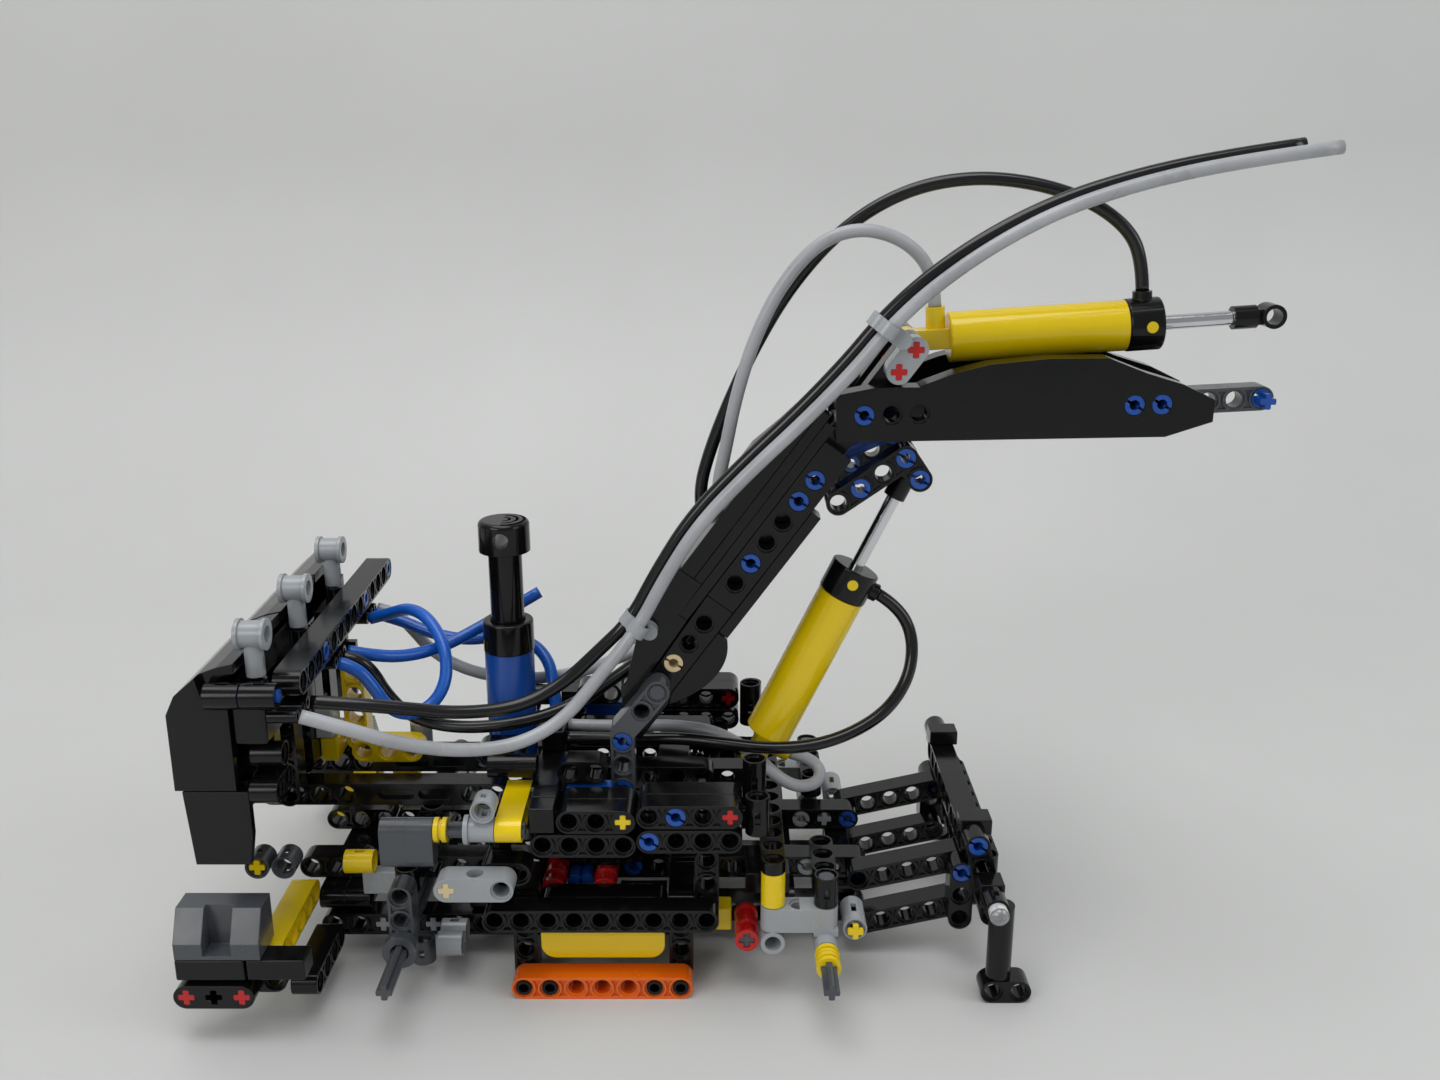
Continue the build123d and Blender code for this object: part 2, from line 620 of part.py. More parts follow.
def boom_lower():
    name = "boom_bricks"
    pair(name, boom_strip(-47.9, 11, -5, 4.6, -16, range(0, 6)))
    tail = [(-48.1, -5), (-48.1, 4.6), (-99, 2.5), (-99, -6.5), (-84, -6.5), (-80, -5)]
    face = make_face(Polyline(*[boom_point(*p) for p in tail], close=True))
    body = slab(face)
    for i in range(7, 11):
        x, z = boom_point(-PITCH * i)
        body -= at(rod(HOLE_R, 9), x, 0, z)
        for side in (-1, 1):
            body -= at(rod(BORE_R, BORE_D), x, side * (THICK / 2 - BORE_D / 2), z)
    pair(name, Pos(0, -16, 0) * body)
    name = "boom_plates"
    pair(name, boom_strip(-55.4, -8.4, -8.5, -5.3, -16))
    pair(name, boom_strip(-58, 16, 4.9, 7.9, -16))
    pair(name, boom_strip(-46, 18, 8.1, 11.0, -16))
    side = [(-46, 11.2), (-46, 16.2), (-8, 16.2), (4, 13.4), (16, 11.2)]
    pair(name, Pos(0, -16, 0) * slab(make_face(Polyline(*[boom_point(*p) for p in side], close=True))))
    side = [(-58.2, 4.9), (-58.2, 7.9), (-46.2, 8.1), (-46.2, 16.6), (-66, 16.6), (-97, 3.2)]
    pair(name, Pos(0, -16, 0) * slab(make_face(Polyline(*[boom_point(*p) for p in side], close=True))))
    name = "boom_core"
    add(name, boom_strip(-62, -8, -4.6, 8, 0, (), 23.6))
    belly = Spline(*[boom_point(*p) for p in ((-56, -8.7), (-62, -12.4), (-70, -12.8), (-84, -6.9))])
    line = Polyline(boom_point(-84, -6.9), boom_point(-80, -5.3), boom_point(-56, -5.3), boom_point(-56, -8.7))
    add(name, slab(make_face(belly + line), 39.4))
    for a in (-18, -2, 10):
        add(name, boom_strip(a - 3.7, a + 3.7, 8.2, 11.4, 0, (), 23.6))
        for y in (-8, 0, 8):
            x, z = boom_point(a, 12.2)
            stud = Rot(0, 90 - BOOM_ANGLE - 90, 0) * Cylinder(2.4, 1.6)
            add(name, Pos(x, y, z) * stud)


def boom_front():
    name = "boom_panels"
    side = [(33.9, 184.2), (34.1, 170.2), (61.4, 170.7), (130.5, 171.9), (144.1, 176.4)]
    side += [(144.1, 182.9), (134.9, 187.3), (124, 190.6), (112.5, 195.0), (95, 194.9)]
    side += [(78, 193.2), (68, 190.6), (60, 187.6), (58, 186.6), (45, 186.4)]
    holes = [(42.2, 178.2), (50.2, 178.5), (58.2, 178.8), (120.9, 181.3), (128.9, 181.5)]
    face = make_face(Polyline(*side, close=True))
    pair(name, Pos(0, -16, 0) * holed(slab(face), holes))
    name = "boom_core"
    pts = [boom_point(PITCH * i) for i in range(7)]
    pair(name, link([pts[0], pts[6]], [pts[0], pts[1], pts[5], pts[6]], -8.2, depth=7.6))
    add(name, block(66, 118, -11.9, 11.9, 172.4, 181.5, 0.6))
    add(name, block(70, 112, -11.9, 11.9, 181.7, 184.9, 0.4))
    for x in (122, 128, 134):
        pair(name, block(x - 2.6, x + 2.6, -11.9, -4.4, 174.6, 184.6, 0.4))
    knee = [(35.26, 151.62), (41.8, 156.2), (48.35, 160.78), (54.9, 165.36), (59.3, 158.9)]
    pair("knee_brackets", link([knee[0], knee[3], knee[4]], knee, -16, pockets=True))
    add("boom_tip", link(row(124, 178.2, 6, 3.0)[::5], row(124, 178.2, 6, 3.0), 0, pockets=True))
    add("boom_tip", at(axle(28, "X"), 44.5, 0, 165.4, 0, -24, 0))


def boom_small():
    name = "boom_pins"
    spots = [boom_point(0), boom_point(-8), boom_point(-32)]
    spots += [(42.2, 178.2), (120.9, 181.3), (128.9, 181.5)]
    spots += [(41.8, 156.2), (54.9, 165.36), (59.3, 158.9)]
    for x, z in spots:
        pair(name, at(stub_pin(), x, -16, z))
    tip = row(124, 178.2, 6, 3.0)[5]
    add(name, at(stub_pin(), tip[0], 0, tip[1]), at(axle(5.6), tip[0], -6.7, tip[1]))
    x, z = boom_point(-72)
    pair("boom_pins", at(stub_pin(), x, -16, z))
    name = "boom_clips"
    pts = [boom_point(PITCH * i) for i in (5, 6)]
    pair(name, link(pts, [], -16.2, crosses=pts, depth=7.4))
    for p in pts:
        add("boom_clips", at(axle(15), p[0], -12.4, p[1]))
        add("boom_clips", at(axle(15), p[0], 12.4, p[1]))


# ---------------------------------------------------------------- air cylinders
def cylinder(tag, base, angle, length, flip):
    """Air cylinder along its own X axis, then turned onto the arm."""
    spot = Location((base[0], 0, base[1])) * Rot(0, -angle, 0) * Rot(flip, 0, 0)
    eye = rod(3.7, 7.6) + Pos(7, 0, 0) * Box(11, 7.2, 6.0)
    eye -= rod(HOLE_R, 9)
    barrel = Pos(38.7, 0, 0) * rod(7.6, 53, "X")
    barrel = fillet(barrel.edges().group_by(Axis.X)[0], 0.8)
    port = Pos(8.6, 0, 5.8) * rod(2.9, 7.4, "Z")
    barrel += eye + port
    barrel -= Pos(44, 0, 0) * rod(6.2, 50, "X")
    barrel -= Pos(8.6, 0, 7.4) * rod(2.05, 5, "Z")
    cap = Pos(70.5, 0, 0) * rod(7.9, 10.2, "X")
    cap = fillet(cap.edges(), 0.5) - Pos(70.5, 0, 0) * rod(2.3, 12, "X")
    cap += Pos(70.5, 0, 8.4) * rod(2.9, 3, "Z")
    cap -= Pos(70.5, 0, 9.0) * rod(2.05, 3, "Z")
    for side in (-1, 1):
        cap -= Pos(71.5, side * 7.5, 0) * rod(1.75, 2)
        add(tag + "_barrel", spot * (Pos(71.5, side * 7.3, 0) * rod(1.7, 1.5)))
    add(tag + "_barrel", spot * barrel)
    add(tag + "_barrel", spot * cap)
    stem = Pos((length + 40) / 2 - 3, 0, 0) * rod(2.2, length - 46, "X")
    stem += Pos(39, 0, 0) * rod(6.1, 5, "X")
    add(tag + "_rod", spot * stem)
    end = Pos(length - 8, 0, 0) * rod(3.5, 7, "X") + Pos(length, 0, 0) * rod(3.6, 7.6)
    end += Pos(length - 4, 0, 0) * Box(4, 5, 4.6)
    end -= Pos(length, 0, 0) * rod(HOLE_R, 9)
    end -= Pos(length - 9.5, 0, 0) * rod(2.25, 6, "X")
    add(tag + "_rod", spot * end)


# ---------------------------------------------------------------- air hoses
def along_boom(points):
    """Turn (along, Y, perp) points on the lower arm into X, Y, Z."""
    out = []
    for a, y, p in points:
        x, z = boom_point(a, p)
        out.append((x, y, z))
    return out


def hose_clips():
    """Two double clips; each ring axis follows the lower arm."""
    for a, grip, foot in ((-67, (16.5, 19.3), 12.5), (48, (11.2, 14.0), 5.2)):
        y0, y1 = (-26.2, -22.8) if a < 0 else (-25.6, -22.4)
        x, z = boom_point(a)
        turn = Location((x, 0, z)) * Rot(0, -BOOM_ANGLE, 0)
        body = slab(track([(0, foot), (0, grip[0] - 1.5)], 5.0), 3.6)
        body = Pos(0, -21.7, 0) * body
        holes = rod(2.35, 8, "X")
        body += Pos(0, y0, grip[0]) * rod(3.1, 4.2, "X")
        body += Pos(0, y1, grip[1]) * rod(3.1, 4.2, "X")
        body -= Pos(0, y0, grip[0]) * holes
        body -= Pos(0, y1, grip[1]) * holes
        add("boom_clips", turn * body)


def hoses():
    grey = [(PORT_X, -61.5, PORT_Z), (-107, -60.6, 98), (-92, -56, 90.5), (-76, -50, 85.2)]
    grey += [(-60, -44.5, 84.4), (-47, -38.5, 89.5), (-37.5, -32, 99.5)]
    run = [(-67, -26.2, 16.5), (-50, -26.6, 19.3), (-30, -27, 21), (-8, -26.8, 18.4)]
    run += [(14, -26.3, 14.4), (34, -25.8, 11.8), (48, -25.6, 11.2), (64, -25, 8.4)]
    run += [(84, -23.6, 1.6), (104, -21.6, -8.6), (124, -19, -23.6), (145, -16.5, -43), (163, -14, -62)]
    grey += along_boom(run)
    black = [(PORT_X, -51.5, PORT_Z), (-107, -50.8, 100.6), (-93, -46.5, 97.4), (-77, -41.5, 93.4)]
    black += [(-60, -36, 93), (-47, -31, 98.6), (-36.5, -26.2, 107.5)]
    run = [(-67, -22.8, 19.3), (-50, -22.7, 22), (-30, -22.6, 23.6), (-8, -22.5, 20.9)]
    run += [(14, -22.4, 17), (34, -22.3, 14.6), (48, -22.4, 14), (64, -21.6, 11.3)]
    run += [(84, -19.4, 4.4), (104, -17, -6), (124, -14.6, -21), (143, -12.4, -38.5), (158, -11, -54)]
    black += along_boom(run)
    cap = [(126.2, 0, 212.2), (125.4, 0, 220.6), (121, 0, 230), (109, 1.2, 238.4), (92, 3, 243.6)]
    cap += [(73, 4, 245), (54, 4.2, 241), (36, 4, 230), (21, 3.6, 213), (10, 3.4, 194), (1.5, 3.6, 175)]
    cap += along_boom([(-17, 4, 27), (-27, 4, 23), (-34.6, 4, 16.6), (-36.6, 4, 8.8)])
    base = [(64.4, 0, 207.6), (63.8, 0, 214.6), (60, -1, 222.4), (51.4, -2.6, 228.6), (39.4, -4, 230.8)]
    base += [(27.6, -5, 226), (17, -5.2, 213), (9.6, -5, 197), (4.6, -5, 180)]
    base += along_boom([(-12, -5, 24.4), (-21, -5, 20.4), (-27.4, -5, 15), (-29.6, -5, 8.8)])
    lift_cap = [(50.2, 0, 116.5), (57, 0, 112.2), (62, -1.4, 102.6), (61, -5, 90.6), (54, -9.6, 80.8)]
    lift_cap += [(43, -13.4, 74.6), (30, -16, 71), (16, -15.6, 69.8), (2, -13, 70.4), (-12, -10, 70.9)]
    lift_cap += [(-27, -8, 69.8), (-40, -6.4, 69.2), (-50.1, -6, 69.2)]
    lift_base = [(23.1, 0, 61.0), (28.8, 0, 59.4), (33.4, -1.8, 56), (32, -7, 53.4), (25, -12, 54.4)]
    lift_base += [(18.4, -14.6, 59.4), (11, -11.6, 66.2), (0, -3.6, 70), (-13, 0.4, 70.6), (-27, 3, 69.4)]
    lift_base += [(-40, 3.6, 69), (-50.1, 4, 69.2)]
    blue = [(PORT_X, -11.5, PORT_Z), (-110, -10.4, 99.6), (-101, -4.8, 96.8), (-90.4, 2.4, 97.2)]
    blue += [(-79.6, 10.2, 101), (-69.4, 15.4, 106), (-60, 18, 111)]
    loop = [(PORT_X, 18.5, PORT_Z), (-110, 17.6, 103.6), (-102, 12, 107.6), (-94, 4, 106.6)]
    loop += [(-87.6, -4.2, 99.6), (-86.6, -10.6, 90.4), (-91, -15.4, 84), (-98, -18.6, 82.6)]
    loop += [(-103.6, -20.6, 86.4), (-107, -21.3, 93.4), (-111.6, -21.5, 99.8), (PORT_X, -21.5, PORT_Z)]
    arch = [(PORT_X, 23.5, PORT_Z), (-109, 23, 99.6), (-98, 20.4, 95.6), (-86, 17.6, 94)]
    arch += [(-74, 16.8, 95.6), (-63, 15.4, 94.4), (-56.8, 10.6, 89.6), (-54.6, 5.4, 82), (-54, 3.6, 73)]
    near = along_boom([(-62.2, -5, 2.6), (-71, -5, 3.4), (-80, -5.2, 5.6)])
    near += [(-33.6, -6.4, 90.4), (-43.6, -9.4, 84), (-55.6, -13.4, 80), (-68, -14.6, 77.6), (-80, -13.6, 76.2)]
    near += [(-91, -12, 76.6), (-100, -12, 80.4), (-105.6, -13, 88), (-108.4, -15, 95.8), (-112.4, -16.4, 100.6)]
    near += [(PORT_X, -16.5, PORT_Z)]
    far = along_boom([(-62.2, 4, 2.6), (-71, 4, 3.4), (-80, 4.4, 5.6)])
    far += [(-34.6, 6.6, 91.4), (-45.6, 10.6, 85.6), (-58.6, 14.6, 81.6), (-73, 17, 80.4), (-87, 19, 83)]
    far += [(-98, 22.4, 88), (-105.4, 26, 95.4), (-111.4, 28.2, 100.4), (PORT_X, 28.5, PORT_Z)]
    routes = {
        "hose_long_grey": [grey],
        "hose_long_black": [black],
        "hoses_stick": [cap, base],
        "hoses_lift": [lift_cap, lift_base],
        "hose_free_blue": [blue],
        "hoses_deck": [loop, arch, near, far],
    }
    for name, lines in routes.items():
        for line in lines:
            tube = hose(line, arc_radii(line))
            length_volume = tube.volume / (math.pi * HOSE_D ** 2 / 4)
            print(name, "volume over section", round(length_volume, 1))
            add(name, tube)


# ---------------------------------------------------------------- assembly
def build():
    chassis_frame()
    step_frame()
    step_rails()
    chassis_yellow()
    chassis_bushes()
    chassis_light()
    hub_blocks()
    chassis_pins()
    turntable_base()
    rear_axle()
    for side, tag in ((-1, "near"), (1, "far")):
        front_knuckle(side, tag)
        outrigger(side, tag)
    tie_rod()
    blade()
    deck_frame()
    tail_frame()
    lever_beam()
    tail_panels()
    boom_mounts()
    deck_small()
    pump()
    valve_levers()
    crank()
    boom_lower()
    boom_front()
    boom_small()
    run = (LIFT_EYE[0] - LIFT_BASE[0], LIFT_EYE[1] - LIFT_BASE[1])
    turn = math.degrees(math.atan2(run[1], run[0]))
    cylinder("lift", LIFT_BASE, turn, math.hypot(*run), 180)
    cylinder("stick", boom_point(PITCH * 6), STICK_ANGLE, STICK_LENGTH, 0)
    hose_clips()
    hoses()


build()
for name, shapes in NODES.items():
    solids = [s for shape in shapes for s in shape.solids()]
    moved = [Location((-ORIGIN[0], -ORIGIN[1], -ORIGIN[2])) * s for s in solids]
    export_step(Compound(moved), f"parts/{name}.step")
print(len(NODES), "nodes")
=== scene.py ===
import bpy
import json
import math
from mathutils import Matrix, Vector


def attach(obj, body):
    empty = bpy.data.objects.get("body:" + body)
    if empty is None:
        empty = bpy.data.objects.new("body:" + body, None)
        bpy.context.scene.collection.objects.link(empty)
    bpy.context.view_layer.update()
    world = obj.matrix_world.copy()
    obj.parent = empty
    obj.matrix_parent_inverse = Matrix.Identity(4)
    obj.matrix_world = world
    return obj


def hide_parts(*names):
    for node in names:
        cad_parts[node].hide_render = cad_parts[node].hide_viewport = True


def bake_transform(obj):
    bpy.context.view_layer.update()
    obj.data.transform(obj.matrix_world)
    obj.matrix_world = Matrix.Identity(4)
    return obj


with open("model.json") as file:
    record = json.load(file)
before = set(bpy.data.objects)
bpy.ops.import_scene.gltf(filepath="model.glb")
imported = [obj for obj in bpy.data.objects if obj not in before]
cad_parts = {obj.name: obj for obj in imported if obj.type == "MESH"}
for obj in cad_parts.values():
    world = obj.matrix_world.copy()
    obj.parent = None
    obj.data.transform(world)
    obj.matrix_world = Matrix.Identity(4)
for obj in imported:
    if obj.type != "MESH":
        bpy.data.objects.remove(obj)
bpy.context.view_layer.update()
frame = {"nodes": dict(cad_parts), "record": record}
nodes = frame["nodes"]

# Millimetre points are given in the part's own drawing frame and moved here.
ORIGIN = Vector((5.6, 0.0, 3.1))
MM = 0.001
BOOM_ANGLE = math.radians(53.8)
BOOM_START = (28.2, 158.7)


def place(p):
    return (Vector(p) - ORIGIN) * MM


def boom_point(along, perp=0.0):
    x = BOOM_START[0] + along * math.cos(BOOM_ANGLE) - perp * math.sin(BOOM_ANGLE)
    z = BOOM_START[1] + along * math.sin(BOOM_ANGLE) + perp * math.cos(BOOM_ANGLE)
    return (x, z)


def along_boom(points):
    out = []
    for a, y, p in points:
        x, z = boom_point(a, p)
        out.append((x, y, z))
    return out


# ------------------------------------------------------------------ camera
CAMERA_SPOT = (0, -412.8, 258)
CAMERA_TILT = math.radians(73.33)
LENS_MM = 34.18
SENSOR_MM = 36.0

cam_data = bpy.data.cameras.new("view_camera")
cam_data.lens = LENS_MM
cam_data.sensor_width = SENSOR_MM
cam_data.clip_start = 0.01
camera = bpy.data.objects.new("view_camera", cam_data)
bpy.context.scene.collection.objects.link(camera)
camera.location = place(CAMERA_SPOT)
camera.rotation_euler = (CAMERA_TILT, 0, 0)
bpy.context.scene.camera = camera
bpy.context.scene.view_settings.view_transform = "Standard"


# ------------------------------------------------------------------ materials
def new_material(name):
    mat = bpy.data.materials.new(name)
    mat.use_nodes = True
    tree = mat.node_tree
    tree.nodes.clear()
    out = tree.nodes.new("ShaderNodeOutputMaterial")
    shader = tree.nodes.new("ShaderNodeBsdfPrincipled")
    tree.links.new(shader.outputs[0], out.inputs[0])
    return mat, tree, shader


def noise(tree, scale, detail=3.0, rough=0.5):
    coord = tree.nodes.new("ShaderNodeTexCoord")
    n = tree.nodes.new("ShaderNodeTexNoise")
    n.inputs["Scale"].default_value = scale
    n.inputs["Detail"].default_value = detail
    n.inputs["Roughness"].default_value = rough
    tree.links.new(coord.outputs["Object"], n.inputs["Vector"])
    return n


def remap(tree, source, low, high):
    m = tree.nodes.new("ShaderNodeMapRange")
    m.inputs["From Min"].default_value = 0.3
    m.inputs["From Max"].default_value = 0.7
    m.inputs["To Min"].default_value = low
    m.inputs["To Max"].default_value = high
    tree.links.new(source, m.inputs["Value"])
    return m.outputs["Result"]


def tone(tree, source, dark, light):
    mix = tree.nodes.new("ShaderNodeMix")
    mix.data_type = "RGBA"
    mix.inputs["A"].default_value = (*dark, 1)
    mix.inputs["B"].default_value = (*light, 1)
    tree.links.new(source, mix.inputs["Factor"])
    return mix.outputs["Result"]


def surface(tree, shader, grain, strength, distance, soft_edge):
    """Fine moulding grain on softened edges."""
    bump = tree.nodes.new("ShaderNodeBump")
    bump.inputs["Strength"].default_value = strength
    bump.inputs["Distance"].default_value = distance
    tree.links.new(grain, bump.inputs["Height"])
    if soft_edge:
        edge = tree.nodes.new("ShaderNodeBevel")
        edge.samples = 4
        edge.inputs["Radius"].default_value = soft_edge
        tree.links.new(edge.outputs[0], bump.inputs["Normal"])
    tree.links.new(bump.outputs[0], shader.inputs["Normal"])


def plastic(name, color, rough=(0.1, 0.24), vary=0.12, soft_edge=0.00035, glow=0.0, shine=0.5):
    mat, tree, shader = new_material(name)
    big = noise(tree, 28, 4, 0.6)
    fine = noise(tree, 900, 2, 0.5)
    dark = tuple(c * (1 - vary) for c in color)
    light = tuple(min(1.0, c * (1 + vary)) for c in color)
    factor = remap(tree, big.outputs["Fac"], 0, 1)
    tree.links.new(tone(tree, factor, dark, light), shader.inputs["Base Color"])
    smear = noise(tree, 160, 5, 0.65)
    tree.links.new(remap(tree, smear.outputs["Fac"], *rough), shader.inputs["Roughness"])
    shader.inputs["IOR"].default_value = 1.53
    shader.inputs["Specular IOR Level"].default_value = shine
    shader.inputs["Subsurface Weight"].default_value = glow
    shader.inputs["Subsurface Radius"].default_value = (0.002, 0.0016, 0.001)
    shader.inputs["Subsurface Scale"].default_value = 1.0
    surface(tree, shader, fine.outputs["Fac"], 0.05, 0.0001, soft_edge)
    return mat


def rubber(name, color, rough=(0.24, 0.4), glow=0.0):
    mat, tree, shader = new_material(name)
    big = noise(tree, 45, 4, 0.6)
    fine = noise(tree, 1400, 2, 0.5)
    dark = tuple(c * 0.85 for c in color)
    light = tuple(min(1.0, c * 1.12) for c in color)
    factor = remap(tree, big.outputs["Fac"], 0, 1)
    tree.links.new(tone(tree, factor, dark, light), shader.inputs["Base Color"])
    tree.links.new(remap(tree, big.outputs["Fac"], *rough), shader.inputs["Roughness"])
    shader.inputs["Subsurface Weight"].default_value = glow
    shader.inputs["Subsurface Radius"].default_value = (0.002, 0.002, 0.002)
    shader.inputs["Subsurface Scale"].default_value = 1.0
    surface(tree, shader, fine.outputs["Fac"], 0.08, 0.0001, 0)
    return mat


def metal(name, color, rough=(0.08, 0.2)):
    mat, tree, shader = new_material(name)
    fine = noise(tree, 700, 3, 0.6)
    big = noise(tree, 60, 3, 0.5)
    factor = remap(tree, big.outputs["Fac"], 0, 1)
    dark = tuple(c * 0.9 for c in color)
    tree.links.new(tone(tree, factor, dark, color), shader.inputs["Base Color"])
    shader.inputs["Metallic"].default_value = 1.0
    tree.links.new(remap(tree, fine.outputs["Fac"], *rough), shader.inputs["Roughness"])
    surface(tree, shader, fine.outputs["Fac"], 0.04, 0.00005, 0.0002)
    return mat


def clear(name, color):
    mat, tree, shader = new_material(name)
    fine = noise(tree, 300, 3, 0.6)
    factor = remap(tree, fine.outputs["Fac"], 0, 1)
    dark = tuple(c * 0.93 for c in color)
    tree.links.new(tone(tree, factor, dark, color), shader.inputs["Base Color"])
    shader.inputs["Transmission Weight"].default_value = 0.85
    shader.inputs["IOR"].default_value = 1.58
    tree.links.new(remap(tree, fine.outputs["Fac"], 0.03, 0.12), shader.inputs["Roughness"])
    surface(tree, shader, fine.outputs["Fac"], 0.05, 0.0001, 0.0002)
    return mat


MATS = {
    "black": plastic("abs_black", (0.004, 0.004, 0.0044), (0.09, 0.22), 0.25, shine=0.3),
    "dark_grey": plastic("abs_dark_grey", (0.062, 0.068, 0.078), (0.14, 0.28), 0.1),
    "light_grey": plastic("abs_light_grey", (0.33, 0.35, 0.37), (0.14, 0.3), 0.07),
    "yellow": plastic("abs_yellow", (0.84, 0.6, 0.003), (0.12, 0.26), 0.05, glow=0.08),
    "blue": plastic("abs_blue", (0.006, 0.07, 0.36), (0.14, 0.28), 0.12),
    "red": plastic("abs_red", (0.5, 0.006, 0.006), (0.14, 0.28), 0.1),
    "tan": plastic("abs_tan", (0.72, 0.58, 0.33), (0.16, 0.3), 0.06),
    "orange": plastic("abs_orange", (0.8, 0.13, 0.003), (0.14, 0.3), 0.05, glow=0.1),
    "clear": clear("clear_plastic", (0.93, 0.95, 0.96)),
    "chrome": metal("polished_steel", (0.72, 0.73, 0.75)),
    "hose_grey": rubber("hose_grey", (0.38, 0.39, 0.41), (0.24, 0.36), glow=0.12),
    "hose_black": rubber("hose_black", (0.006, 0.006, 0.007), (0.12, 0.24)),
    "hose_blue": rubber("hose_blue", (0.008, 0.1, 0.48), (0.16, 0.3), glow=0.05),
}

for entry in frame["record"]["subparts"]:
    mesh = nodes[entry["node"]].data
    mesh.materials.clear()
    mesh.materials.append(MATS[entry["material_slot"]])


def islands(mesh):
    """Separate solids of a mesh, as lists of polygons with their centres."""
    parent = list(range(len(mesh.vertices)))

    def root(i):
        while parent[i] != i:
            parent[i] = parent[parent[i]]
            i = parent[i]
        return i

    seen = {}
    for v in mesh.vertices:
        key = tuple(round(c, 6) for c in v.co)
        if key in seen:
            parent[root(v.index)] = root(seen[key])
        seen[key] = v.index
    for poly in mesh.polygons:
        first = root(poly.vertices[0])
        for v in poly.vertices[1:]:
            parent[root(v)] = first
    groups = {}
    for poly in mesh.polygons:
        groups.setdefault(root(poly.vertices[0]), []).append(poly)
    out = []
    for polys in groups.values():
        points = [mesh.vertices[v].co for p in polys for v in p.vertices]
        low = Vector([min(c[i] for c in points) for i in range(3)])
        high = Vector([max(c[i] for c in points) for i in range(3)])
        out.append((polys, (low / MM + ORIGIN), (high / MM + ORIGIN)))
    return out


def recolor(node, material, wanted):
    """Give the solids that wanted(low, high) accepts another finish."""
    mesh = nodes[node].data
    mesh.materials.append(MATS[material])
    index = len(mesh.materials) - 1
    for polys, low, high in islands(mesh):
        if wanted(low, high):
            for poly in polys:
                poly.material_index = index


def middle(low, high):
    return (low + high) / 2


# Cylinders: the barrel's cap and the rod's end are black.
for tag in ("lift", "stick"):
    recolor(tag + "_barrel", "black", lambda lo, hi: max(hi - lo) < 24 and max(hi - lo) > 9)
    recolor(tag + "_rod", "black", lambda lo, hi: max(hi - lo) < 24)
# Wheel stubs have dark axles, and the stabiliser feet have red axle ends.
for side in ("near", "far"):
    recolor("stub_" + side, "dark_grey", lambda lo, hi: hi.y - lo.y > 20)
    recolor("outrigger_foot_" + side, "red", lambda lo, hi: max(hi - lo) < 8 and hi.x - lo.x < 5)
TAN_PIN_X = boom_point(-72)[0]
recolor("boom_pins", "tan", lambda lo, hi: abs(middle(lo, hi).x - TAN_PIN_X) < 2)
recolor("boom_clips", "red", lambda lo, hi: 14 < hi.y - lo.y < 16)
recolor("pump_body", "black", lambda lo, hi: lo.z > 95)
recolor("deck_axles", "yellow", lambda lo, hi: middle(lo, hi).x < -20)
recolor("tie_rod", "black", lambda lo, hi: hi.y - lo.y > 60)
recolor("crank_axle", "yellow", lambda lo, hi: hi.x - lo.x < 6)
recolor("chassis_light", "tan", lambda lo, hi: abs(middle(lo, hi).x + 80) < 2 and lo.z > 40)
recolor("boom_tip", "blue", lambda lo, hi: hi.x - lo.x < 30)


# ------------------------------------------------------------------ hoses
def path_points(points):
    """Points along the smooth line of a route, in metres."""
    data = bpy.data.curves.new("line", "CURVE")
    data.dimensions = "3D"
    data.resolution_u = 10
    spline = data.splines.new("NURBS")
    spline.points.add(len(points) - 1)
    for i, p in enumerate(points):
        spline.points[i].co = (*place(p), 1)
    spline.order_u = 3
    spline.use_endpoint_u = True
    line = bpy.data.objects.new("line", data)
    bpy.context.scene.collection.objects.link(line)
    mesh = bpy.data.meshes.new_from_object(line)
    out = [v.co.copy() for v in mesh.vertices]
    bpy.data.objects.remove(line)
    bpy.data.meshes.remove(mesh)
    return out


def tube_mesh(name, lines, radius=0.002, bore=0.0011, sides=20, deep=0.004):
    """Hollow-ended round tubes along lines of points."""
    verts, faces = [], []
    for line in lines:
        tangent = (line[1] - line[0]).normalized()
        side = tangent.orthogonal().normalized()
        rings = []
        start_in = [(line[0] + tangent * deep, bore), (line[0], bore)]
        last = (line[-1] - line[-2]).normalized()
        end_in = [(line[-1], bore), (line[-1] - last * deep, bore)]
        centres = start_in + [(p, radius) for p in line] + end_in
        count = len(centres)
        for k, (p, r) in enumerate(centres):
            j = min(max(k - 2, 0), len(line) - 1)
            a = line[max(j - 1, 0)]
            b = line[min(j + 1, len(line) - 1)]
            t = (b - a).normalized()
            side = (side - t * side.dot(t)).normalized()
            up = t.cross(side)
            ring = []
            for i in range(sides):
                turn = 2 * math.pi * i / sides
                ring.append(len(verts))
                verts.append(p + (side * math.cos(turn) + up * math.sin(turn)) * r)
            rings.append(ring)
        for a, b in zip(rings, rings[1:]):
            for i in range(sides):
                n = (i + 1) % sides
                faces.append((a[i], a[n], b[n], b[i]))
        faces.append(tuple(rings[0]))
        faces.append(tuple(reversed(rings[count - 1])))
    mesh = bpy.data.meshes.new(name)
    mesh.from_pydata([tuple(v) for v in verts], [], faces)
    mesh.update()
    for poly in mesh.polygons:
        poly.use_smooth = True
    obj = bpy.data.objects.new(name, mesh)
    bpy.context.scene.collection.objects.link(obj)
    return obj


